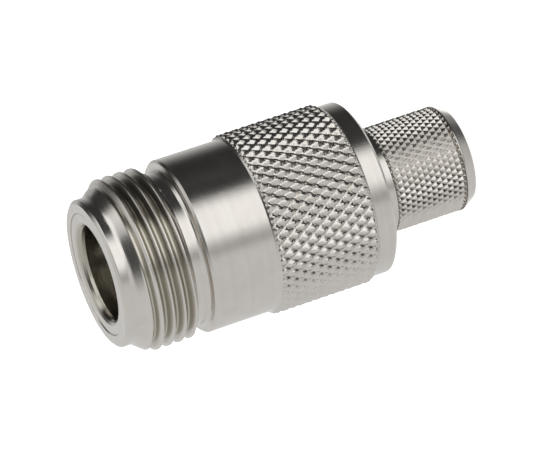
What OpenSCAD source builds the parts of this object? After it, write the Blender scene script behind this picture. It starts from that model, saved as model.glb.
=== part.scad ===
// Coaxial adapter, type N jack to small threaded plug.
// It stands on its coupling nut: +Z runs up the axis to the jack's mouth,
// and the origin is the centre of the nut's end face. Millimetres.

/* [Jack body, lengths along the axis] */
// Smooth collar at the mouth
collar_len = 1.17; // [0.8:0.05:2]
// Lead-in cone from the collar to the thread
cone_len = 1.18; // [0.8:0.05:2]
// Outside thread
thread_len = 3.85; // [3:0.05:8]
// Relief neck behind the thread
neck_len = 1.73; // [1.2:0.05:4]
// Smooth shoulder
shoulder_len = 6.17; // [2:0.05:15]
// Coarse knurled grip
grip_len = 9.6; // [5:0.1:20]
// Smooth ring behind the grip
ring_len = 1.8; // [0.8:0.05:4]

/* [Jack body, radii] */
// Collar
collar_r = 6.75; // [6:0.05:7]
// Wide end of the lead-in cone
cone_r = 7.7; // [7.2:0.05:7.8]
// Crest of the outside thread, 5/8-24 UNEF
thread_r = 7.9; // [7.85:0.01:7.94]
// Relief neck
neck_r = 7.0; // [6.2:0.05:7.2]
// Shoulder
shoulder_r = 7.93; // [7.8:0.01:10]
// Crest of the grip's knurl
grip_r = 8.33; // [8.1:0.01:11]
// Ring
ring_r = 7.95; // [7.5:0.01:8.05]
// Rounding of the mouth's outer edge
mouth_round = 0.4; // [0.1:0.05:0.6]
// Width of the shallow turned recess in the front face
face_recess_r = 5.63; // [5:0.01:6.1]
// Depth of that recess
face_recess_depth = 0.06; // [0.02:0.01:0.2]

/* [Jack interface] */
// Depth of the reference plane below the front face
reference_depth = 9.1; // [8.8:0.01:9.3]
// Wide front stretch of the bore
mouth_bore_r = 4.27; // [4.2:0.01:4.4]
// Length of that stretch, from the front face
mouth_bore_len = 4.0; // [3.8:0.05:4.6]
// Narrow bore that the mating outer contact closes on
contact_bore_r = 4.04; // [4:0.01:4.1]
// Chamfer at the mouth of the bore
mouth_chamfer = 0.28; // [0.1:0.02:0.5]
// Air line behind the reference plane, outer conductor
line_r = 3.5; // [3.4:0.01:3.6]
// Length of that air line
line_len = 3.4; // [2:0.1:6]

/* [Centre conductor] */
// Socket contact
socket_r = 1.52; // [1.5:0.01:1.55]
// How far the socket reaches in front of the reference plane
socket_reach = 4.95; // [4.75:0.05:5.26]
// Hole for the mating pin
socket_hole_r = 0.83; // [0.8:0.005:0.86]
// Depth of that hole
socket_hole_len = 6.0; // [4.6:0.1:7]
// Slots that make its spring fingers, width
slot_w = 0.24; // [0.15:0.01:0.3]
// Slots, length
slot_len = 5.0; // [3:0.1:5.5]
// Depth of the waist that the bead sits in
waist_depth = 0.22; // [0.1:0.01:0.4]
// Screwed stud that joins the two contacts
stud_r = 0.7; // [0.5:0.01:0.9]
// Length of that stud
stud_len = 2.1; // [1.2:0.05:2.4]
// Shank of the plug pin
shank_r = 0.635; // [0.6:0.005:0.67]
// Free end of the plug pin
pin_r = 0.465; // [0.45:0.005:0.47]
// How far the pin stands out of the plug's reference plane
pin_reach = 2.0; // [1.7:0.05:2.3]
// How far the plug pin's flange overlaps the bead
pin_flange_step = 0.3; // [0.1:0.01:0.4]
// Thickness of that flange
pin_flange_len = 0.7; // [0.4:0.05:1.2]

/* [Insulators] */
// Length of the support bead
bead_len = 3.2; // [2.4:0.1:5]
// Radius of the rear bore that takes the bead and the plug sleeve
rear_bore_r = 4.75; // [4.4:0.01:5.2]
// Insulator of the plug
dielectric_r = 2.05; // [2:0.01:2.08]

/* [Plug sleeve] */
// Wall of the outer contact round the insulator
contact_wall = 0.22; // [0.2:0.005:0.24]
// Step from the outer contact up to the neck that carries the nut
sleeve_neck_step = 0.46; // [0.3:0.01:0.6]
// Reference plane of the plug, above the nut's end face
plug_depth = 2.9; // [2.5:0.05:3.4]
// Depth of the neck's groove for the snap ring
neck_groove_depth = 0.3; // [0.2:0.01:0.35]

/* [Coupling nut] */
// Length
nut_len = 9.35; // [7.5:0.05:14]
// Crest of its knurl
nut_r = 4.86; // [4.4:0.01:6]
// Its end face, outer edge
nut_end_r = 4.3; // [3.9:0.01:5.2]
// Length of the taper at that end
nut_taper_len = 1.0; // [0.4:0.05:1.5]
// Chamfer at the other end
nut_chamfer = 0.3; // [0.1:0.05:0.5]
// Inside thread 1/4-36 UNS, its minor radius
nut_thread_r = 2.83; // [2.79:0.005:2.89]
// Lead-in at the inside thread
nut_lead_r = 3.3; // [3.2:0.01:3.5]
// Depth of the thread from the end face
nut_thread_depth = 4.6; // [4:0.05:5]
// Relief behind the thread, which seats the gasket
nut_relief_r = 3.25; // [3.2:0.01:3.5]
// Length of that relief
nut_relief_len = 1.4; // [1.1:0.05:2]
// Depth of the nut's groove for the snap ring
nut_groove_depth = 0.35; // [0.25:0.01:0.6]

/* [Snap ring and gasket] */
// Web between the relief's floor and the groove
groove_web = 1.2; // [0.8:0.05:1.6]
// Width of the groove
groove_w = 0.7; // [0.5:0.05:0.9]
// Opening of the snap ring
snap_gap = 1.6; // [0.8:0.1:2.5]
// Gasket thickness
gasket_len = 0.8; // [0.5:0.05:1]

/* [Fits] */
// Radial clearance of a seated or pressed piece
seat_gap = 0.02; // [0.01:0.01:0.05]
// Radial clearance of the turning nut on the neck
run_gap = 0.1; // [0.05:0.01:0.1]
// Clearance of the snap ring in its grooves
snap_clear = 0.07; // [0.03:0.01:0.1]
// Axial play between the nut and the body
nut_play = 0.15; // [0.1:0.01:0.3]

/* [Hidden] */
$fn = 96;
eps = 0.01;
arc_steps = 5;

// Heights of the jack body's steps, from its rear face up to the mouth.
z_rear = nut_len + nut_play;
z_grip = z_rear + ring_len;
z_shoulder = z_grip + grip_len;
z_neck = z_shoulder + shoulder_len;
z_thread = z_neck + neck_len;
z_cone = z_thread + thread_len;
z_collar = z_cone + cone_len;
z_face = z_collar + collar_len;

// Heights of the inner steps, which hang from the jack's reference plane.
z_reference = z_face - reference_depth;
z_mouth_bore = z_face - mouth_bore_len;
z_bead_top = z_reference - line_len;
z_bead_foot = z_bead_top - bead_len;
z_socket_tip = z_reference + socket_reach;
z_flange_foot = z_bead_foot - pin_flange_len;

// Radii that follow from the steps and fits.
waist_r = socket_r - waist_depth;
pin_flange_r = waist_r + pin_flange_step;
contact_r = dielectric_r + seat_gap + contact_wall;
sleeve_neck_r = contact_r + sleeve_neck_step;
neck_groove_r = sleeve_neck_r - neck_groove_depth;
nut_hole_r = sleeve_neck_r + run_gap;
nut_groove_r = nut_hole_r + nut_groove_depth;

// Heights in the nut, from its end face.
nut_floor = nut_thread_depth + nut_relief_len;
groove_z = nut_floor + groove_web;

// Turned edges of the body.
edge = 0.25;
grip_chamfer = 0.45;
shoulder_chamfer = 0.2;
runout = 0.5;
neck_fillet = 0.4;
cone_blend = 0.8;
cone_angle = atan((cone_r - collar_r) / cone_len);
bore_taper = 0.5;
bead_chamfer = 0.25;
sleeve_chamfer = 0.3;

nickel = [0.78, 0.77, 0.74];
gold = [0.84, 0.68, 0.34];
bronze = [0.72, 0.5, 0.32];
ptfe = [0.93, 0.93, 0.91];
silicone = [0.62, 0.2, 0.12];

// Points of an arc about (cx, cz), from one angle to another.
function arc(cx, cz, r, from, to) =
    [for (i = [0:arc_steps]) let (a = from + (to - from) * i / arc_steps)
        [cx + r * cos(a), cz + r * sin(a)]];

module turned(outline) {
    rotate_extrude() polygon(outline);
}

module tube(r_in, r_out, z_low, z_high) {
    turned([[r_in, z_low], [r_out, z_low], [r_out, z_high], [r_in, z_high]]);
}

// One turned piece from the mouth to the ring, bored right through.
module jack_body() {
    outside = concat(
        [[ring_r - edge, z_rear], [ring_r, z_rear + edge], [ring_r, z_grip]],
        [[grip_r, z_grip + grip_chamfer], [grip_r, z_shoulder - grip_chamfer]],
        [[shoulder_r, z_shoulder], [shoulder_r, z_neck - shoulder_chamfer]],
        [[shoulder_r - shoulder_chamfer, z_neck], [neck_r + neck_fillet, z_neck]],
        arc(neck_r + neck_fillet, z_neck + neck_fillet, neck_fillet, 270, 180),
        [[neck_r, z_thread - runout], [thread_r, z_thread]],
        [[thread_r, z_cone - (thread_r - cone_r)], [cone_r, z_cone]],
        arc(collar_r + cone_blend, z_collar + cone_blend * tan(cone_angle / 2), cone_blend,
            180 + cone_angle, 180),
        arc(collar_r - mouth_round, z_face - mouth_round, mouth_round, 0, 90)
    );
    inside = [
        [face_recess_r, z_face],
        [face_recess_r, z_face - face_recess_depth],
        [mouth_bore_r + mouth_chamfer, z_face - face_recess_depth],
        [mouth_bore_r, z_face - face_recess_depth - mouth_chamfer],
        [mouth_bore_r, z_mouth_bore],
        [contact_bore_r, z_mouth_bore - bore_taper],
        [contact_bore_r, z_reference],
        [line_r, z_reference],
        [line_r, z_bead_top],
        [rear_bore_r, z_bead_top],
        [rear_bore_r, z_rear + sleeve_chamfer],
        [rear_bore_r + sleeve_chamfer, z_rear]
    ];
    color(nickel) turned(concat(outside, inside));
}

// Slotted socket: four spring fingers, a waist for the bead and a tapped tail.
module socket_contact() {
    tip = 0.25;
    color(gold) difference() {
        turned(concat(
            [[0, z_bead_foot], [waist_r, z_bead_foot], [waist_r, z_bead_top]],
            [[socket_r, z_bead_top], [socket_r, z_socket_tip - tip]],
            [[socket_r - tip, z_socket_tip], [0, z_socket_tip]]
        ));
        translate([0, 0, z_socket_tip - socket_hole_len])
            cylinder(r = socket_hole_r, h = socket_hole_len + eps);
        translate([0, 0, z_bead_foot - eps])
            cylinder(r = stud_r, h = stud_len + eps);
        for (a = [0, 90])
            rotate([0, 0, a]) translate([-2 * socket_r, -slot_w / 2, z_socket_tip - slot_len])
                cube([4 * socket_r, slot_w, slot_len + eps]);
    }
}

// Bead that centres the contacts in the rear bore.
module support_bead() {
    color(ptfe) turned([
        [waist_r + seat_gap, z_bead_foot],
        [rear_bore_r - seat_gap - bead_chamfer, z_bead_foot],
        [rear_bore_r - seat_gap, z_bead_foot + bead_chamfer],
        [rear_bore_r - seat_gap, z_bead_top],
        [waist_r + seat_gap, z_bead_top]
    ]);
}

// Outer contact of the plug: head pressed in the body, neck and groove for the nut.
module plug_sleeve() {
    head_r = rear_bore_r - seat_gap;
    neck_foot = nut_floor + run_gap;
    color(nickel) turned([
        [dielectric_r + seat_gap, plug_depth],
        [contact_r, plug_depth],
        [contact_r, neck_foot],
        [sleeve_neck_r, neck_foot],
        [sleeve_neck_r, groove_z],
        [neck_groove_r, groove_z],
        [neck_groove_r, groove_z + groove_w],
        [sleeve_neck_r, groove_z + groove_w],
        [sleeve_neck_r, z_rear],
        [head_r, z_rear],
        [head_r, z_bead_foot - edge],
        [head_r - edge, z_bead_foot],
        [dielectric_r + seat_gap, z_bead_foot]
    ]);
}

// Insulator of the plug, flush with its reference plane.
module plug_dielectric() {
    color(ptfe) tube(shank_r + seat_gap, dielectric_r, plug_depth, z_flange_foot);
}

// Pin of the plug, screwed into the socket contact behind the bead.
module plug_pin() {
    tip = 0.25;
    pin_end = plug_depth - pin_reach;
    color(gold) turned([
        [0, pin_end],
        [pin_r - tip, pin_end],
        [pin_r, pin_end + tip],
        [pin_r, plug_depth],
        [shank_r, plug_depth],
        [shank_r, z_flange_foot],
        [pin_flange_r, z_flange_foot],
        [pin_flange_r, z_bead_foot],
        [stud_r - seat_gap, z_bead_foot],
        [stud_r - seat_gap, z_bead_foot + stud_len - 2 * seat_gap],
        [0, z_bead_foot + stud_len - 2 * seat_gap]
    ]);
}

// Free-turning nut with an inside thread, held on the neck by the snap ring.
module coupling_nut() {
    lead = nut_lead_r - nut_thread_r;
    color(nickel) turned([
        [nut_lead_r, 0],
        [nut_end_r, 0],
        [nut_r, nut_taper_len],
        [nut_r, nut_len - nut_chamfer],
        [nut_r - nut_chamfer, nut_len],
        [nut_hole_r, nut_len],
        [nut_hole_r, groove_z + groove_w],
        [nut_groove_r, groove_z + groove_w],
        [nut_groove_r, groove_z],
        [nut_hole_r, groove_z],
        [nut_hole_r, nut_floor],
        [nut_relief_r, nut_floor],
        [nut_relief_r, nut_thread_depth],
        [nut_thread_r, nut_thread_depth],
        [nut_thread_r, lead]
    ]);
}

// Open ring that sits in the grooves of the neck and the nut.
module snap_ring() {
    r_in = neck_groove_r + snap_clear;
    r_out = nut_groove_r - snap_clear;
    color(bronze) difference() {
        tube(r_in, r_out, groove_z + snap_clear, groove_z + groove_w - snap_clear);
        translate([0, -snap_gap / 2, groove_z])
            cube([nut_groove_r, snap_gap, groove_w]);
    }
}

// Flat seal on the floor of the nut, round the outer contact.
module nut_gasket() {
    color(silicone) tube(contact_r + run_gap, nut_relief_r - seat_gap,
        nut_floor - gasket_len, nut_floor);
}

jack_body();
socket_contact();
support_bead();
plug_sleeve();
plug_dielectric();
plug_pin();
coupling_nut();
snap_ring();
nut_gasket();
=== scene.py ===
# %% [markdown]
# # A coaxial adapter: a threaded jack on one end, a small knurled plug on the other
#
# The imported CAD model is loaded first. It fixes every size and place, so each
# piece made here is built straight onto it. All lengths are in metres, the
# part stands upright on the nut's end face, and its axis is the Z axis. Three
# of its nine pieces are made again in detail: the jack body, the coupling nut
# and the socket contact. The other six are plain turned shapes that the CAD
# model already has right, so they only get a finish.

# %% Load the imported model
import math

import bmesh
import bpy
from mathutils import Matrix, Vector


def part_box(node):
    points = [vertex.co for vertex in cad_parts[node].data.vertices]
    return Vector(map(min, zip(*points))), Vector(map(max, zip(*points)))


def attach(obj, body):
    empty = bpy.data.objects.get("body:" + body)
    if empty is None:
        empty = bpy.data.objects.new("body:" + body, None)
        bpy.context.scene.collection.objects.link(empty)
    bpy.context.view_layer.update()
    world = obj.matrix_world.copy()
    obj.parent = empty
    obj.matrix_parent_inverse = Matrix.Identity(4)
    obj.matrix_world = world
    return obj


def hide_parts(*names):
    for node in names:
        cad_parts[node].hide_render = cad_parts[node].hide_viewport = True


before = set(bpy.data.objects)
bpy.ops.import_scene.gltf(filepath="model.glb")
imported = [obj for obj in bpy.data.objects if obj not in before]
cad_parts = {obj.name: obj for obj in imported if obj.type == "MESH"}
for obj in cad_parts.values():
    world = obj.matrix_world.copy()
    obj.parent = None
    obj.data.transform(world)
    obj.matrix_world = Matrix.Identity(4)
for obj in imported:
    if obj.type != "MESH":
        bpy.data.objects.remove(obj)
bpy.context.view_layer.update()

# %% [markdown]
# ## Sizes that several pieces share
#
# Heights come from the boxes of the CAD nodes, so that a turned shoulder here
# lies exactly where the collision model has it. Round walls, threads and the
# coarse knurl all have the same number of columns, so that rings that meet
# share their points and can be merged.

# %% Shared sizes
MM = 0.001
INCH = 25.4 * MM
SAME_POINT = MM / 1000  # points nearer than this are merged
COLUMNS = 300  # faces around every wall: six for each diamond of a knurl
RING_LEN, GRIP_LEN = 1.8 * MM, 9.6 * MM
body_low, body_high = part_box("jack_body")
GRIP_LOW = body_low.z + RING_LEN
GRIP_HIGH = GRIP_LOW + GRIP_LEN
print("body from", body_low.z, "to", body_high.z, "grip from", GRIP_LOW, "to", GRIP_HIGH)

# %% [markdown]
# ## Hand tools
#
# A mesh could be written as lists of points and faces, but nobody could edit
# such a list by eye. Every piece here is shaped in edit mode with the operators
# that a person would use. These few helpers open one mesh for editing, pick
# vertices, edges or faces by their place, and read how far a point lies from
# the part's axis.


# %% Hand tools
class editing:
    """Opens one piece in edit mode, with nothing else selected."""

    def __init__(self, piece):
        self.piece = piece

    def __enter__(self):
        bpy.ops.object.select_all(action="DESELECT")
        self.piece.select_set(True)
        bpy.context.view_layer.objects.active = self.piece
        bpy.ops.object.mode_set(mode="EDIT")
        return self.piece

    def __exit__(self, *problem):
        bpy.ops.object.mode_set(mode="OBJECT")


def pick(piece, kind, test):
    """Selects the "verts", "edges" or "faces" that pass the test, and counts them."""
    bpy.ops.mesh.select_mode(type={"verts": "VERT", "edges": "EDGE", "faces": "FACE"}[kind])
    bpy.ops.mesh.select_all(action="DESELECT")
    mesh = bmesh.from_edit_mesh(piece.data)
    chosen = [part for part in getattr(mesh, kind) if test(part)]
    for part in chosen:
        part.select_set(True)
    mesh.select_flush_mode()
    bmesh.update_edit_mesh(piece.data)
    return len(chosen)


def radius(point):
    """How far a point lies from the part's axis."""
    return math.hypot(point.x, point.y)


def place_new(name):
    """Names the primitive just added and moves its place into its mesh."""
    piece = bpy.context.object
    piece.name = piece.data.name = name
    bpy.ops.object.transform_apply(location=True, rotation=True, scale=True)
    return piece


# %% [markdown]
# ## Turning on a lathe
#
# Nearly everything in this part comes off a lathe. A half section is drawn as a
# chain of points in the XZ plane, its corners are rounded a little as a real
# tool leaves them, and the chain is spun about the axis. The chain is made by
# extruding one vertex from point to point. Stacked cylinders could give the same
# steps, but a drawn section keeps each fillet and chamfer where a lathe cuts it.


# %% Turning
ARC_STEPS = 4


def rounded(points):
    """Half-section points (radius, height, corner radius) in mm, as metres with arcs."""
    chain = []
    for index, (r, z, corner) in enumerate(points):
        here = Vector((r, z))
        if not corner or index in (0, len(points) - 1):
            chain.append(here)
            continue
        back = (Vector(points[index - 1][:2]) - here).normalized()
        on = (Vector(points[index + 1][:2]) - here).normalized()
        half = back.angle(on) / 2
        reach = corner / math.tan(half)
        centre = here + (back + on).normalized() * corner / math.sin(half)
        start, end = here + back * reach - centre, here + on * reach - centre
        sweep = start.angle_signed(end)
        for step in range(ARC_STEPS + 1):
            turned = Matrix.Rotation(-sweep * step / ARC_STEPS, 2)
            chain.append(centre + turned @ start)
    return [(p.x * MM, p.y * MM) for p in chain]


def draw_chain(name, chain):
    """A chain of edges through (radius, height) points, in the XZ plane."""
    bpy.ops.object.select_all(action="DESELECT")
    (r, z), rest = chain[0], chain[1:]
    bpy.ops.mesh.primitive_plane_add(size=MM, location=(r, 0, z))
    piece = place_new(name)
    with editing(piece):
        bpy.ops.mesh.select_mode(type="VERT")
        bpy.ops.mesh.select_all(action="SELECT")
        bpy.ops.mesh.merge(type="CENTER")
        for r_next, z_next in rest:
            step = (r_next - r, 0, z_next - z)
            bpy.ops.mesh.extrude_region_move(TRANSFORM_OT_translate={"value": step})
            r, z = r_next, z_next
    return piece


def turn(name, points, steps=COLUMNS, closed=False):
    """Spins a half section about the Z axis into a wall, or into a closed solid."""
    chain = rounded(points)
    piece = draw_chain(name, chain + chain[:1] if closed else chain)
    with editing(piece):
        bpy.ops.mesh.select_all(action="SELECT")
        bpy.ops.mesh.spin(steps=steps, angle=math.tau, center=(0, 0, 0), axis=(0, 0, 1))
        bpy.ops.mesh.select_all(action="SELECT")
        bpy.ops.mesh.remove_doubles(threshold=SAME_POINT)
        bpy.ops.mesh.normals_make_consistent(inside=False)
    return piece


# %% [markdown]
# ## Cutting a thread
#
# A thread is one groove that winds around the bar. A stack of separate rings
# looks much the same from afar, but its ends give it away, so the Screw modifier
# sweeps a one-pitch profile up the helix, turn above turn. The ribbon that comes
# out is then held to the blank: nothing may stand outside the blank's outline,
# and its two ends are pressed flat, so that it joins the plain turned walls. That
# leaves the run-out of a real thread, where the ridge fades into the chamfer.


# %% Threads
def in_metres(outline):
    """An outline [(radius, height), ...] in millimetres, as metres."""
    return [(r * MM, z * MM) for r, z in outline]


def along(outline, z):
    """The radius of an outline [(radius, height), ...] at one height."""
    for (r0, z0), (r1, z1) in zip(outline, outline[1:]):
        if z0 <= z <= z1:
            return r0 + (r1 - r0) * (z - z0) / (z1 - z0) if z1 > z0 else r1
    return outline[0][0] if z < outline[0][1] else outline[-1][0]


def hold_to(piece, outline, within=min):
    """Presses a band between the outline's ends and holds its radius to the outline."""
    low, high = outline[0][1], outline[-1][1]
    for vertex in piece.data.vertices:
        r = radius(vertex.co)
        z = min(max(vertex.co.z, low), high)
        at_end = z - low < SAME_POINT / 10 or high - z < SAME_POINT / 10
        new = along(outline, z) if at_end else within(r, along(outline, z))
        vertex.co.x *= new / r
        vertex.co.y *= new / r
        vertex.co.z = z
    with editing(piece):
        bpy.ops.mesh.select_all(action="SELECT")
        bpy.ops.mesh.remove_doubles(threshold=SAME_POINT)


TURNS_BELOW, TURNS_SPARE = 2, 3


def cut_thread(name, profile, pitch, outline, start, within=min):
    """Winds a one-pitch profile [(radius, height), ...] along the outline."""
    low, high = outline[0][1], outline[-1][1]
    turns = math.ceil((high - low) / pitch) + TURNS_SPARE
    base = low - (TURNS_BELOW - start) * pitch
    piece = draw_chain(name, [(r, z + base) for r, z in profile])
    screw = piece.modifiers.new("thread", "SCREW")
    screw.axis = "Z"
    screw.angle = math.tau
    screw.screw_offset = pitch
    screw.iterations = turns
    screw.steps = screw.render_steps = COLUMNS
    screw.use_merge_vertices = False
    bpy.ops.object.modifier_apply(modifier=screw.name)
    hold_to(piece, outline, within)
    return piece


# %% [markdown]
# ## Rolling a diamond knurl
#
# A knurl is rolled in by two wheels whose grooves cross. Between the crossing
# grooves stand rows of diamonds, each row half a step round from the last. A
# bump would leave the outline smooth, and the outline is where a knurl shows
# most. On a mesh it starts as a plain grid of faces: poking every face and
# dissolving the grid's own edges leaves exactly those diamonds.


# %% Diamonds
def diamond_band(name, around, r, period, half_rows, low):
    """A ring of diamond faces, half_rows half-periods high, standing on low."""
    full = math.ceil(half_rows / 2)
    bpy.ops.object.select_all(action="DESELECT")
    bpy.ops.mesh.primitive_cylinder_add(
        vertices=around, radius=r, depth=full * period, end_fill_type="NOTHING",
        location=(0, 0, low + full * period / 2))
    piece = place_new(name)
    with editing(piece):
        pick(piece, "edges", lambda e: abs(e.verts[0].co.z - e.verts[1].co.z) > period / 2)
        bpy.ops.mesh.subdivide(number_cuts=full - 1)
        bpy.ops.mesh.select_all(action="SELECT")
        bpy.ops.mesh.poke()

        def from_the_grid(edge):
            rise = abs(edge.verts[0].co.z - edge.verts[1].co.z)
            upright = abs(rise - period) < period / 100
            return len(edge.link_faces) == 2 and (upright or rise < period / 100)

        pick(piece, "edges", from_the_grid)
        bpy.ops.mesh.dissolve_edges(use_verts=False)
        if half_rows % 2:
            bpy.ops.mesh.select_all(action="SELECT")
            bpy.ops.mesh.bisect(
                plane_co=(0, 0, low + half_rows * period / 2), plane_no=(0, 0, 1),
                clear_outer=True, threshold=SAME_POINT)
        bpy.ops.mesh.select_all(action="SELECT")
        count = len(bmesh.from_edit_mesh(piece.data).faces)
    print(name, "diamonds", count)
    return piece


def squeeze(piece, line, end, new_end):
    """Presses what lies past a height towards it, so that end comes to new_end."""
    past = (lambda v: v.co.z > line) if end > line else (lambda v: v.co.z < line)
    with editing(piece):
        pick(piece, "verts", past)
        share = (new_end - line) / (end - line)
        bpy.ops.transform.resize(value=(1, 1, share), center_override=(0, 0, line))


# %% [markdown]
# ## Joining bands into one turned piece
#
# The jack body is one piece of metal, so its bands become one closed mesh: the
# objects are joined, the matching rings merged, the normals turned outwards, and
# only real corners are left sharp. A Boolean union would need walls that overlap,
# and would leave slivers where they do. The ring beside a knurl is marked sharp
# too, or the bumps would shade the plain wall next to them.


# %% Joining
SMOOTH_BELOW = math.radians(35)


def weld(name, bands, keep_soft=None, rings=()):
    """Joins bands into one closed piece, with real corners and the rings sharp."""
    bpy.ops.object.select_all(action="DESELECT")
    for band in bands:
        band.select_set(True)
    bpy.context.view_layer.objects.active = bands[0]
    bpy.ops.object.join()
    piece = bpy.context.object
    piece.name = piece.data.name = name
    with editing(piece):
        bpy.ops.mesh.select_all(action="SELECT")
        bpy.ops.mesh.remove_doubles(threshold=2 * SAME_POINT)
        bpy.ops.mesh.delete_loose(use_verts=True, use_edges=True, use_faces=False)
        bpy.ops.mesh.normals_make_consistent(inside=False)
        bpy.ops.mesh.faces_shade_smooth()
        bpy.ops.mesh.select_mode(type="EDGE")
        bpy.ops.mesh.select_all(action="DESELECT")
        bpy.ops.mesh.edges_select_sharp(sharpness=SMOOTH_BELOW)
        mesh = bmesh.from_edit_mesh(piece.data)
        for edge in mesh.edges:
            if edge.select and keep_soft and all(keep_soft(v.co) for v in edge.verts):
                edge.select_set(False)
            if any(all(abs(v.co.z - z) < SAME_POINT for v in edge.verts) for z in rings):
                edge.select_set(True)
        bmesh.update_edit_mesh(piece.data)
        bpy.ops.mesh.mark_sharp()
        open_edges = pick(piece, "edges", lambda e: len(e.link_faces) != 2)
    triangles = sum(len(p.vertices) - 2 for p in piece.data.polygons)
    print(name, "triangles", triangles, "open edges", open_edges)
    return piece


# %% [markdown]
# ## One pitch of a thread
#
# Both threads are inch threads with flanks at 60 degrees to each other, a flat
# crest and a flat root. A plain zigzag would do from afar. Up close a real
# thread has no knife edges: a narrow soft corner on each side of a flat catches
# the light, so the four corners are broken, and the flanks get points of their
# own to keep their shading flat.


# %% Thread profile
def sixty_degrees(root, crest, pitch, crest_flat, soft):
    """One pitch of a 60 degree thread, with its four corners broken by soft."""
    flank = abs(crest - root) * math.tan(math.radians(30))
    root_flat = pitch - 2 * flank - crest_flat
    rise = 1 if crest > root else -1
    slope = soft * abs(crest - root) / flank
    corners = [0, root_flat, root_flat + flank, root_flat + flank + crest_flat]
    points = [(root, 0), (root, corners[1] - soft), (root + rise * slope, corners[1] + soft)]
    for share in (0.35, 0.65):
        points.append((root + (crest - root) * share, corners[1] + flank * share))
    points += [(crest - rise * slope, corners[2] - soft), (crest, corners[2] + soft)]
    points += [(crest, corners[3] - soft), (crest - rise * slope, corners[3] + soft)]
    for share in (0.65, 0.35):
        points.append((root + (crest - root) * share, corners[3] + flank * (1 - share)))
    end = corners[3] + flank
    points += [(root + rise * slope, end - soft), (root, end)]
    return points


# %% [markdown]
# ## The jack's thread
#
# The outside thread takes the mating plug's nut, at 24 turns to the inch. Its
# outline is the blank that the bar was turned to: a run-out from the neck, the
# crest diameter, a small bevel and the lead-in cone. As on a drawing, outlines
# are given in millimetres, as radius and height.

# %% Jack thread
JACK_PITCH = INCH / 24
CREST, ROOT = 7.9, 7.27
NECK_R, THREAD_FOOT = 7.0, 28.3
CONE_R, CONE_FOOT = 7.2, 33.271
jack_blank = [(NECK_R, THREAD_FOOT), (CREST, 28.8), (CREST, 32.45), (7.7, 32.65),
              (CONE_R, CONE_FOOT)]
jack_profile = sixty_degrees(ROOT * MM, CREST * MM, JACK_PITCH, 0.13 * MM, 0.02 * MM)
jack_thread = cut_thread(
    "jack_thread", jack_profile, JACK_PITCH, in_metres(jack_blank), start=0.30)
print("thread pitch", JACK_PITCH, "faces", len(jack_thread.data.polygons))

# %% [markdown]
# ## The grip's coarse knurl
#
# The grip of the body has diamonds with rounded, pearl-like tops between V
# grooves. Insetting each diamond would give it a flat top and straight flanks,
# so it is cut into thirty-six faces, and these are lifted over the two grooves
# that cross beside them. The first and last rows are pressed against the
# shoulders beside them, where the lathe has turned the knurl away. The wheels
# wandered a little, so that the rows lean by two columns of the wall.

# %% Coarse knurl
GRIP_AROUND, GRIP_PERIOD, GRIP_HALF_ROWS = 50, 1.588 * MM, 13
GRIP_BASE = 10.96 * MM
GRIP_CREST, GRIP_ROOT = min(body_high.x, -body_low.x), 8.04 * MM
CUTS = COLUMNS // GRIP_AROUND - 1
DOME_POWER = 1.7

grip = diamond_band("grip", GRIP_AROUND, GRIP_ROOT, GRIP_PERIOD, GRIP_HALF_ROWS, GRIP_BASE)
with editing(grip):
    bpy.ops.mesh.select_all(action="SELECT")
    bpy.ops.mesh.subdivide(number_cuts=CUTS)

for vertex in grip.data.vertices:
    # Diamonds are counted around (x) and up (y); the grooves lie where x + y or
    # x - y is whole.
    x = math.atan2(vertex.co.y, vertex.co.x) / math.tau * GRIP_AROUND + 0.5
    y = (vertex.co.z - GRIP_BASE) / GRIP_PERIOD
    dome = 1.0
    for across in (x + y, x - y):
        off = 2 * abs(across - math.floor(across) - 0.5)
        dome *= 1 - off**DOME_POWER
    r = GRIP_ROOT + (GRIP_CREST - GRIP_ROOT) * dome
    now = radius(vertex.co)
    vertex.co.x *= r / now
    vertex.co.y *= r / now
print("grip knurl", GRIP_CREST - GRIP_ROOT, "deep")

# %% [markdown]
# ## The ends of the grip
#
# The lathe has cut a bevel at both ends of the grip, right through the last
# rows of diamonds. The rows there are squeezed to the grip's real length, and
# the whole band is held to the bevelled outline, as the threads are. The lean
# comes last: it turns each height by its own angle and moves nothing in or out.

# %% Ends of the grip
RING_R, SHOULDER_R, GRIP_R, GRIP_BEVEL = 7.95, 7.93, 8.33, 0.45
LEAN = 2 * math.tau / COLUMNS

half = GRIP_PERIOD / 2
grip_top = GRIP_BASE + GRIP_HALF_ROWS * half
squeeze(grip, GRIP_BASE + half + SAME_POINT / 10, GRIP_BASE, GRIP_LOW)
squeeze(grip, grip_top - half - SAME_POINT / 10, grip_top, GRIP_HIGH)
grip_blank = [(RING_R, GRIP_LOW / MM), (GRIP_R, GRIP_LOW / MM + GRIP_BEVEL),
              (GRIP_R, GRIP_HIGH / MM - GRIP_BEVEL), (SHOULDER_R, GRIP_HIGH / MM)]
hold_to(grip, in_metres(grip_blank))
for vertex in grip.data.vertices:
    share = 0.5 - (vertex.co.z - GRIP_LOW) / (GRIP_HIGH - GRIP_LOW)
    vertex.co.rotate(Matrix.Rotation(LEAN * share, 3, "Z"))
print("grip knurl faces", len(grip.data.polygons), "lean in degrees", math.degrees(LEAN))

# %% [markdown]
# ## The jack body
#
# Two plain walls are turned beside the bands: the shoulder and neck between the
# knurl and the thread, and the long wall that runs over the lead-in cone and
# the collar, in at the mouth, down the stepped bore and round the rear ring.
# The whole could be spun at once from one section, but the knurl and the thread
# aren't round, so the body is made in bands that meet ring to ring. The welded
# body is then turned a little about its axis, to bring the diamonds to where
# the real one has them.

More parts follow.
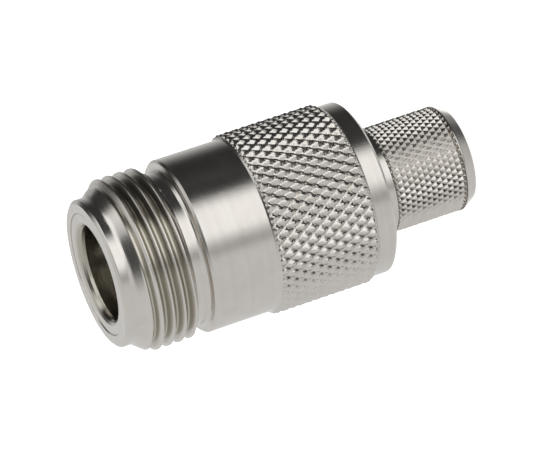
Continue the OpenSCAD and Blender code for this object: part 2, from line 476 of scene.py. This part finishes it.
# %% Jack body
COLLAR_R, BORE_R, CONTACT_BORE_R, LINE_R, REAR_BORE_R = 6.75, 4.27, 4.04, 3.5, 4.75
FRONT_FACE, LIP_FACE, REFERENCE, BEAD_TOP, REAR_FACE = 35.0, 34.94, 25.9, 22.5, 9.5
BODY_TURN = math.radians(2.9)

shoulder_wall = turn("shoulder_wall", [
    (SHOULDER_R, GRIP_HIGH / MM, 0), (SHOULDER_R, 26.87, 0.04), (7.73, 27.07, 0.04),
    (NECK_R, 27.07, 0.4), (NECK_R, THREAD_FOOT, 0)])
main_wall = turn("main_wall", [
    (CONE_R, CONE_FOOT, 0), (COLLAR_R, 33.83, 0.8), (COLLAR_R, 34.75, 0.1),
    (6.45, FRONT_FACE, 0.08), (5.63, FRONT_FACE, 0.01),
    (5.61, 34.86, 0), (5.50, LIP_FACE, 0.02), (BORE_R, LIP_FACE, 0.75),
    (BORE_R, 31.0, 0.05), (CONTACT_BORE_R, 30.5, 0.05), (CONTACT_BORE_R, REFERENCE, 0.03),
    (LINE_R, REFERENCE, 0.03), (LINE_R, BEAD_TOP, 0),
    (REAR_BORE_R, BEAD_TOP, 0), (REAR_BORE_R, REAR_FACE + 0.3, 0.03),
    (REAR_BORE_R + 0.3, REAR_FACE, 0.03), (7.7, REAR_FACE, 0.04),
    (RING_R, REAR_FACE + 0.25, 0.04), (RING_R, GRIP_LOW / MM, 0)])
jack_body = weld(
    "jack_body_turned", [main_wall, shoulder_wall, jack_thread, grip],
    keep_soft=lambda co: radius(co) > GRIP_ROOT + MM / 50, rings=(GRIP_LOW, GRIP_HIGH))
with editing(jack_body):
    bpy.ops.mesh.select_all(action="SELECT")
    # The operator counts angles the other way round from a rotation matrix.
    bpy.ops.transform.rotate(value=-BODY_TURN, orient_axis="Z", center_override=(0, 0, 0))

# %% [markdown]
# ## The coupling nut
#
# The nut's knurl is fine and sharp, with flat tips, so it needs far fewer faces
# than the domes of the grip: every diamond is inset twice, once for the groove's
# floor and once for the small flat tip, and the tips are scaled outwards from
# the axis. Edges that bend by more than 20 degrees are marked sharp, so that
# each flank shades flat.

# %% Fine knurl
nut_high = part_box("coupling_nut")[1]
NUT_AROUND, NUT_PERIOD, NUT_HALF_ROWS = 50, 1.032 * MM, 14
NUT_BASE = 0.9 * MM
NUT_LOW, NUT_TOP = 1.1 * MM, 7.95 * MM
NUT_CREST, NUT_ROOT = nut_high.x, 4.68 * MM
HALF_GROOVE, NUT_FLANK = 0.01 * MM, 0.22 * MM
FLANK_ANGLE = math.radians(20)

knurl = diamond_band("nut_knurl", NUT_AROUND, NUT_ROOT, NUT_PERIOD, NUT_HALF_ROWS, NUT_BASE)
with editing(knurl):
    bpy.ops.mesh.select_all(action="SELECT")
    bpy.ops.mesh.inset(thickness=HALF_GROOVE, use_individual=True)
    bpy.ops.mesh.inset(thickness=NUT_FLANK, use_individual=True)
    out = NUT_CREST / NUT_ROOT
    bpy.ops.transform.resize(value=(out, out, 1), center_override=(0, 0, 0))
    ends = (NUT_BASE, NUT_BASE + NUT_HALF_ROWS * NUT_PERIOD / 2)
    pick(knurl, "edges", lambda e: any(
        all(abs(v.co.z - end) < SAME_POINT for v in e.verts) for end in ends))
    bpy.ops.mesh.subdivide(number_cuts=CUTS)
half = NUT_PERIOD / 2
squeeze(knurl, NUT_BASE + half, NUT_BASE, NUT_LOW)
squeeze(knurl, ends[1] - half, ends[1], NUT_TOP)
hold_to(knurl, [(NUT_CREST, NUT_LOW), (NUT_CREST, NUT_TOP)])
with editing(knurl):
    bpy.ops.mesh.select_mode(type="EDGE")
    bpy.ops.mesh.select_all(action="DESELECT")
    bpy.ops.mesh.edges_select_sharp(sharpness=FLANK_ANGLE)
    bpy.ops.mesh.mark_sharp()
print("nut knurl faces", len(knurl.data.polygons))

# %% [markdown]
# ## Inside the nut
#
# Inside, the nut has a 36 turns to the inch thread, a relief where the tap runs
# out, a floor for the gasket and a groove for the snap ring. The same helix
# tool cuts the thread: its crest now points inwards, so the ribbon is kept
# outside the outline instead of inside it. The walls are turned, and the four
# bands are welded.

# %% Nut thread and walls
NUT_PITCH = INCH / 36
NUT_MINOR, NUT_MAJOR, NUT_ROOT_FLAT = 2.83, 3.175, 0.09
NUT_R, NECK_HOLE_R = 4.86, 2.85
MOUTH_R, RELIEF_R, RELIEF_FOOT = 3.3, 3.25, 4.6

nut_flank = (NUT_MAJOR - NUT_MINOR) * math.tan(math.radians(30)) * MM
nut_blank = [(MOUTH_R, 0.0), (NUT_MINOR, 0.47), (NUT_MINOR, RELIEF_FOOT - 0.001),
             (RELIEF_R, RELIEF_FOOT)]
nut_profile = sixty_degrees(
    NUT_MAJOR * MM, NUT_MINOR * MM, NUT_PITCH,
    NUT_PITCH - NUT_ROOT_FLAT * MM - 2 * nut_flank, 0.01 * MM)
nut_thread = cut_thread(
    "nut_thread", nut_profile, NUT_PITCH, in_metres(nut_blank), start=0.1, within=max)
nut_wall = turn("nut_wall", [
    (NUT_R, NUT_TOP / MM, 0), (NUT_R, 9.05, 0.04), (4.56, 9.35, 0.04),
    (NECK_HOLE_R, 9.35, 0.04), (NECK_HOLE_R, 7.9, 0.02), (3.2, 7.9, 0.02), (3.2, 7.2, 0.02),
    (NECK_HOLE_R, 7.2, 0.02), (NECK_HOLE_R, 6.0, 0.02), (RELIEF_R, 6.0, 0.02),
    (RELIEF_R, RELIEF_FOOT, 0)])
nut_end = turn("nut_end", [
    (MOUTH_R, 0.0, 0), (4.3, 0.0, 0.12), (NUT_R, 1.0, 0.1), (NUT_R, NUT_LOW / MM, 0)])
nut = weld("coupling_nut_turned", [nut_wall, nut_thread, nut_end, knurl],
           rings=(NUT_LOW, NUT_TOP))

# %% [markdown]
# ## The socket contact
#
# A female centre contact is a gold-plated tube whose mouth is sawn into four
# springy fingers. Four separate fingers could be drawn, but sawing is how it is
# done, and it keeps the tube one piece. The tube is turned, then two saw blades
# crossed at right angles are cut out of it with a Boolean, and a small bevel
# breaks every edge. The section's points a hair from the axis spin into a ring
# so small that merging makes one point of it, which closes the hole's end.

# %% Socket contact
contact_low, contact_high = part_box("socket_contact")
tip, foot = contact_high.z / MM, contact_low.z / MM
SOCKET_R, WAIST_R, HOLE_R, HOLE_END = 1.52, 1.3, 0.83, 24.85
STUD_R, STUD_LEN, AXIS_R = 0.7, 2.1, 0.0005
SAW, SAW_DEPTH, SAW_WIDTH = 0.24 * MM, 5.0 * MM, 4 * MM

contact = turn("socket_contact_sawn", [
    (WAIST_R, foot, 0.03), (WAIST_R, BEAD_TOP, 0.02), (SOCKET_R, BEAD_TOP, 0.03),
    (SOCKET_R, tip - 0.25, 0.08), (1.32, tip, 0.08), (0.95, tip, 0.05),
    (HOLE_R, tip - 0.12, 0.05), (HOLE_R, HOLE_END, 0.02), (AXIS_R, HOLE_END - 0.5, 0),
    (AXIS_R, foot + STUD_LEN, 0), (STUD_R, foot + STUD_LEN, 0.02), (STUD_R, foot, 0.02)],
    steps=96, closed=True)
for turn_by in (0, 90):
    bpy.ops.object.select_all(action="DESELECT")
    bpy.ops.mesh.primitive_cube_add(
        size=1, location=(0, 0, contact_high.z - SAW_DEPTH / 2 + MM / 2),
        rotation=(0, 0, math.radians(turn_by)), scale=(SAW, SAW_WIDTH, SAW_DEPTH + MM))
    blade = place_new("saw_blade")
    saw = contact.modifiers.new("saw", "BOOLEAN")
    saw.object, saw.operation, saw.solver = blade, "DIFFERENCE", "EXACT"
    bpy.context.view_layer.objects.active = contact
    bpy.ops.object.modifier_apply(modifier=saw.name)
    bpy.data.objects.remove(blade)
bevel = contact.modifiers.new("edges", "BEVEL")
bevel.width, bevel.segments, bevel.limit_method = 0.015 * MM, 2, "ANGLE"
bevel.angle_limit = math.radians(50)
bpy.context.view_layer.objects.active = contact
bpy.ops.object.modifier_apply(modifier=bevel.name)
contact = weld("socket_contact_sawn", [contact])

# %% [markdown]
# ## Writing shader maths
#
# A finish is a small network of nodes. Written out node by node and link by
# link, even a sum takes four lines and hides what it adds up. This class wraps
# one output socket, so that sums and products are written as Python and each
# adds its Math node. Any other node comes from the one method `node`, which sets
# the node's settings first and then its inputs, with values or with other
# wrapped sockets.


# %% Shader maths
class Wire:
    """One output socket of a shader node, which can be reckoned with."""

    def __init__(self, socket):
        self.socket = socket

    def node(self, kind, settings, inputs, out=0):
        tree = self.socket.id_data
        made = tree.nodes.new(kind)
        for name, value in settings.items():
            setattr(made, name, value)
        for name, value in inputs.items():
            if isinstance(value, Wire):
                tree.links.new(value.socket, made.inputs[name])
            else:
                made.inputs[name].default_value = value
        return Wire(made.outputs[out])

    def math(self, operation, *others):
        values = dict(enumerate((self, *others)))
        return self.node("ShaderNodeMath", {"operation": operation}, values)

    def __add__(self, other):
        return self.math("ADD", other)

    def __mul__(self, other):
        return self.math("MULTIPLY", other)

    def __sub__(self, other):
        return self.math("SUBTRACT", other)

    def __rsub__(self, other):
        return self.node("ShaderNodeMath", {"operation": "SUBTRACT"}, {0: other, 1: self})

    def __truediv__(self, other):
        return self.math("DIVIDE", other)

    __radd__ = __add__
    __rmul__ = __mul__

    def vector(self, operation, other, out=0):
        return self.node("ShaderNodeVectorMath", {"operation": operation}, {0: self, 1: other}, out)

    def steps(self, low, high):
        """Goes smoothly from 0 at low to 1 at high, and low may be the greater."""
        return self.node("ShaderNodeMapRange", {"interpolation_type": "SMOOTHSTEP"}, {
            "Value": self, "From Min": low, "From Max": high})

    def noise(self, scale, detail):
        return self.node("ShaderNodeTexNoise", {}, {
            "Vector": self, "Scale": scale, "Detail": detail})

    def bump(self):
        """Normals as if this height, in millimetres, stood on the surface."""
        return self.node("ShaderNodeBump", {}, {
            "Strength": 1.0, "Distance": MM, "Height": self})

    def mix_colour(self, first, second):
        """The first colour where this is 0, the second where it is 1."""
        return self.node("ShaderNodeMix", {"data_type": "RGBA"}, {0: self, 6: first, 7: second}, 2)


def begin_material(name):
    """A new material: its shader node, and Object coordinates in millimetres."""
    material = bpy.data.materials.new(name)
    material.use_nodes = True
    shader = material.node_tree.nodes["Principled BSDF"]
    source = material.node_tree.nodes.new("ShaderNodeTexCoord").outputs["Object"]
    return material, shader, Wire(source).vector("MULTIPLY", (1000, 1000, 1000))


def feed(shader, name, wire):
    """Links a wrapped socket to one of the shader's inputs."""
    shader.id_data.links.new(wire.socket, shader.inputs[name])


# %% [markdown]
# ## Where shade is painted on the plate
#
# The mouth's bore and the roots of the thread are painted a darker, warm grey:
# a painted shade for the light that reaches less far into them. The crests of
# the thread carry small burrs from handling, as a bump. Painted textures would
# need unwrapping, so these places are found by their distance from the axis
# and their height, both in millimetres.


# %% Places on the body
def places_on_body(from_axis, height):
    """Masks of the mouth's bore, the thread's roots and the thread's crests."""
    in_bore = from_axis.steps(4.9, 4.4) * from_axis.steps(3.0, 3.3) * height.steps(26, 29)
    in_root = from_axis.steps(7.8, 7.45) * height.steps(28.3, 28.9) * height.steps(33.0, 32.5)
    on_crest = from_axis.steps(7.74, 7.86) * height.steps(28.5, 29.0) * height.steps(33.0, 32.6)
    return in_bore, in_root, on_crest


# %% [markdown]
# ## Nickel plate over turned brass
#
# The plate keeps the fine rings that the lathe tool left in the brass. An
# anisotropic shader could stretch its highlights, but would show no single
# ring, so the rings are a bump. They follow height on the round walls and
# radius on the flat faces, so the noise is read on those two together, with a
# slow drift around the axis. The plate is a warm grey in two near shades, with
# a grain that sparkles on the knurls, and a painted shade darkens the bore and
# the thread's roots. Gold and bronze are the same, recoloured.

# %% Metals
GREY_NICKEL, DULL_NICKEL = (0.700, 0.672, 0.632), (0.660, 0.632, 0.590)
# The colour of the painted shade in the mouth's bore and the thread's roots.
RECESS_SHADE_COLOUR = (0.490, 0.464, 0.404)
PATCHINESS = 0.06
BORE_RINGS, BURRS = 0.03, 0.012


def metal(name, colour, dark, rough, ring_depth, grain_depth):
    """A turned metal: ring marks and grain in the bump, patches in the roughness."""
    material, shader, place = begin_material(name)
    flat = place.vector("MULTIPLY", (1, 1, 0))
    from_axis = place.node("ShaderNodeVectorMath", {"operation": "LENGTH"}, {0: flat}, 1)
    height = place.node("ShaderNodeSeparateXYZ", {}, {0: place}, "Z")
    drift = flat.vector("MULTIPLY", (0.02, 0.02, 0))
    rings = place.node("ShaderNodeCombineXYZ", {}, {
        "X": from_axis, "Y": height, "Z": 0.0}).vector("ADD", drift)
    marks, coarse_marks = rings.noise(9.0, 5.0), rings.noise(2.2, 2.0)
    grain, patches = place.noise(8.0, 4.0), place.noise(0.55, 3.0)
    in_bore, in_root, on_crest = places_on_body(from_axis, height)

    shader.inputs["Metallic"].default_value = 1.0
    feed(shader, "Roughness", rough + (patches - 0.5) * PATCHINESS + (marks - 0.5) * PATCHINESS)
    plate_tone = (patches * 0.6 + coarse_marks * 0.4).steps(0.35, 0.65).mix_colour(
        (*dark, 1), (*colour, 1))
    # Painted shade: the bore and the thread's roots are darkened to a warm grey.
    painted_shade = in_bore.math("MAXIMUM", in_root)
    feed(shader, "Base Color", painted_shade.mix_colour(plate_tone, (*RECESS_SHADE_COLOUR, 1)))
    relief = marks * ring_depth + coarse_marks * in_bore * BORE_RINGS
    relief = relief + grain * (1 - in_bore) * grain_depth
    relief = relief + place.noise(4.5, 4.0) * on_crest * BURRS
    feed(shader, "Normal", relief.bump())
    print(name, "nodes", len(material.node_tree.nodes))
    return material


nickel = metal("nickel_plate", GREY_NICKEL, DULL_NICKEL, 0.20, 0.0012, 0.0045)
gold = metal("gold_plate", (0.83, 0.60, 0.27), (0.74, 0.50, 0.20), 0.22, 0.002, 0.001)
bronze = metal("spring_bronze", (0.70, 0.50, 0.30), (0.60, 0.42, 0.25), 0.28, 0.002, 0.001)

# %% [markdown]
# ## Insulators and the gasket
#
# The insulators are a white, waxy fluoropolymer. The gasket is a soft red-brown
# silicone, matt with a fine moulded grain. Flat colours would look like paint,
# so both are mottled a little between two near shades, and their roughness
# wanders with them.


# %% Plastics
def plastic(name, colour, shade, rough, grain_depth):
    """A mottled plastic or rubber with a fine grain."""
    material, shader, place = begin_material(name)
    feed(shader, "Base Color", place.noise(0.9, 3.0).steps(0.35, 0.65).mix_colour(
        (*shade, 1), (*colour, 1)))
    feed(shader, "Roughness", rough + (place.noise(3.0, 3.0) - 0.5) * 0.1)
    feed(shader, "Normal", (place.noise(11.0, 4.0) * grain_depth).bump())
    print(name, "nodes", len(material.node_tree.nodes))
    return material


ptfe = plastic("ptfe", (0.86, 0.86, 0.84), (0.80, 0.80, 0.78), 0.42, 0.002)
silicone = plastic("silicone", (0.42, 0.12, 0.08), (0.36, 0.09, 0.06), 0.62, 0.004)

# %% [markdown]
# ## Dressing the pieces
#
# Each detailed piece takes one material, rides with the body of the CAD model
# that carries it, and replaces that model's node. The six plain pieces are not
# drawn again, because a second copy would only differ by mistake: their CAD
# nodes get the new materials instead.

# %% Dress the pieces
for piece, material, body, node, slot in [
        (jack_body, nickel, "connector_body", "jack_body", "nickel"),
        (contact, gold, "connector_body", "socket_contact", "gold"),
        (nut, nickel, "nut", "coupling_nut", "nickel")]:
    piece.data.materials.clear()
    piece.data.materials.append(material)
    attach(piece, body)
    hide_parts(node)
    print(piece.name, "rides with", body, "in place of", node)

for node, material in {
        "support_bead": ptfe, "plug_dielectric": ptfe, "plug_sleeve": nickel,
        "plug_pin": gold, "snap_ring": bronze, "nut_gasket": silicone}.items():
    for material_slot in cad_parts[node].material_slots:
        material_slot.material = material
    print(node, "is in", material.name)

# %% [markdown]
# ## Directions in the studio
#
# Polished metal looks like the room around it, so the room matters more here
# than any lamp. Lamps and cards could stand around the part as objects, but each
# would need a place, a size and an angle. Drawn in the world by direction alone,
# a card is two spans of degrees: its bearing, from the camera's side round to
# the right, and its rise above the camera's level.

# %% Studio directions
RIGHT = Vector((-0.31714, -0.27870, -0.90650))
UP = Vector((0.94838, -0.09320, -0.30314))
FRONT = Vector((0.0, -0.95584, 0.29387))

world = bpy.data.worlds.new("studio")
bpy.context.scene.world = world
world.use_nodes = True
tree = world.node_tree
tree.nodes.clear()
direction = Wire(tree.nodes.new("ShaderNodeTexCoord").outputs["Generated"])
up = direction.vector("DOT_PRODUCT", tuple(UP), 1)
front = direction.vector("DOT_PRODUCT", tuple(FRONT), 1)
right = direction.vector("DOT_PRODUCT", tuple(RIGHT), 1)
bearing = right.math("ARCTAN2", front) * (180 / math.pi)
rise = up.math("ARCSINE") * (180 / math.pi)
print("camera's side", tuple(FRONT), "above", tuple(UP))

# %% [markdown]
# ## Walls and ceiling
#
# The walls are one even pale grey. The ceiling is dark, since a bright one
# would wash out every upward face: it is a lopsided oval around straight up,
# sharp in front, and fading out behind the part.

# %% Walls and ceiling
WALLS, CEILING = 0.72, 0.035


def card(level, mask, brightness):
    """Lays one card of a brightness over the room where the mask is 1."""
    return level + mask * (brightness - level)


across = (right + 0.06) / 0.92
leaning = front + (right * -0.32).math("MAXIMUM", 0.0)
along_view = (leaning / 0.55).math("MAXIMUM", leaning * (-1 / 0.66))
spread = across * across + along_view * along_view
behind = front.steps(-0.35, -0.65) * right.math("ABSOLUTE").steps(0.6, 0.35)
sharp_edge, soft_edge = spread.steps(1.2, 0.8), spread.steps(2.3, 0.45)
oval = sharp_edge + behind * (soft_edge - sharp_edge)
room = card(up * 0.0 + WALLS, oval * up.steps(0.0, 0.2), CEILING)
print("walls", WALLS, "ceiling", CEILING)

# %% [markdown]
# ## Cards and flags
#
# Round metal needs something dark beside something bright, or it looks like
# plaster. The window, high on the left, and the soft box in front give the two
# long highlights, and the dark flags below and beside them draw the lines
# between. The low edge is a dim strip under the soft box's right end, and the
# back wall lights what faces away from the camera. A span is two ramps in
# degrees: the mask rises over the first and falls over the second. The right
# flag has no second ramp upwards, and reaches the ceiling.

# %% Cards and flags
CARDS = {  # name: ramps of the bearing, ramps of the rise, brightness
    "right flag": ([(50, 60), (98, 84)], [(-14, 6)], 0.04),
    "window": ([(-90, -66), (-14, -28)], [(18, 34), (80, 66)], 1.22),
    "soft box": ([(-34, -24), (44, 34)], [(0, 10), (52, 42)], 1.28),
    "left flag": ([(-64, -54), (-28, -36)], [(-48, -17), (18, 9)], 0.05),
    "low edge": ([(10, 25), (60, 48)], [(-17, -10), (0, -5)], 0.45),
}
BACK_WALL = 1.35

for name, (bearings, rises, brightness) in CARDS.items():
    mask, *ramps = [bearing.steps(*ramp) for ramp in bearings] + [
        rise.steps(*ramp) for ramp in rises]
    for ramp in ramps:
        mask = mask * ramp
    room = card(room, mask, brightness)
    print(name, "brightness", brightness)
back_wall = front.steps(-0.78, -0.95) * right.steps(-0.09, 0.03) * rise.steps(-15, -4)
room = card(room, back_wall, BACK_WALL)

# %% [markdown]
# ## What the camera sees of the studio
#
# The room is there for the metal to reflect, and would only distract behind it.
# The Light Path node tells the camera's own rays from the rest, so those see
# plain white, and everything else sees the room.

# %% World output
light = room.node("ShaderNodeBackground", {}, {"Color": room, "Strength": 1.0})
plain = room.node("ShaderNodeBackground", {}, {"Color": (1, 1, 1, 1), "Strength": 1.0})
seen = room.node("ShaderNodeLightPath", {}, {})
both = room.node("ShaderNodeMixShader", {}, {0: seen, 1: light, 2: plain})
output = tree.nodes.new("ShaderNodeOutputWorld")
tree.links.new(both.socket, output.inputs["Surface"])
print("world nodes", len(tree.nodes))

# %% [markdown]
# ## The floor
#
# The floor is a plain pale disc under the nut's end face. A shadow catcher would
# need a second image laid over a backdrop. Instead the camera's own rays see the
# disc a little brighter, so that it meets the white background, while the part's
# shadow stays on it. The metal doesn't reflect it, or its edge would show.

# %% Floor
FLOOR_SHADE, FLOOR_GLOW = 0.9, 0.65
bpy.ops.object.select_all(action="DESELECT")
bpy.ops.mesh.primitive_circle_add(vertices=96, radius=0.5, fill_type="NGON", location=(0, 0, 0))
floor = place_new("floor")
floor.visible_glossy = False
paint, shader, place = begin_material("pale_floor")
shader.inputs["Base Color"].default_value = (FLOOR_SHADE, FLOOR_SHADE, FLOOR_SHADE, 1)
shader.inputs["Roughness"].default_value = 0.9
glow = place.node("ShaderNodeLightPath", {}, {}) * FLOOR_GLOW
feed(shader, "Emission Color", glow.mix_colour((0, 0, 0, 1), (1, 1, 1, 1)))
shader.inputs["Emission Strength"].default_value = 1.0
floor.data.materials.append(paint)
print("floor", floor.name, "shade", FLOOR_SHADE, "glow", FLOOR_GLOW)

# %% [markdown]
# ## The camera
#
# Small parts are shot from far off with a long lens, so that near and far rings
# come out almost the same size. A short lens close by would swell the mouth.
# The camera is rolled until the part, which really stands upright, lies across
# the picture. Its axes are the studio's right, up and front.

# %% Camera
FOCAL_LENGTH, SENSOR_WIDTH = 266.7, 36.0
CAMERA_PLACE = (-0.71, -337.74, 122.32)

lens = bpy.data.cameras.new("camera")
lens.lens, lens.sensor_width = FOCAL_LENGTH, SENSOR_WIDTH
lens.clip_start, lens.clip_end = 0.01, 10.0
camera = bpy.data.objects.new("camera", lens)
bpy.context.scene.collection.objects.link(camera)
turned = Matrix((RIGHT, UP, FRONT)).transposed().to_4x4()
camera.matrix_world = Matrix.Translation([v * MM for v in CAMERA_PLACE]) @ turned
bpy.context.scene.camera = camera
bpy.context.scene.view_settings.view_transform = "Standard"
print("camera at", tuple(camera.matrix_world.translation))
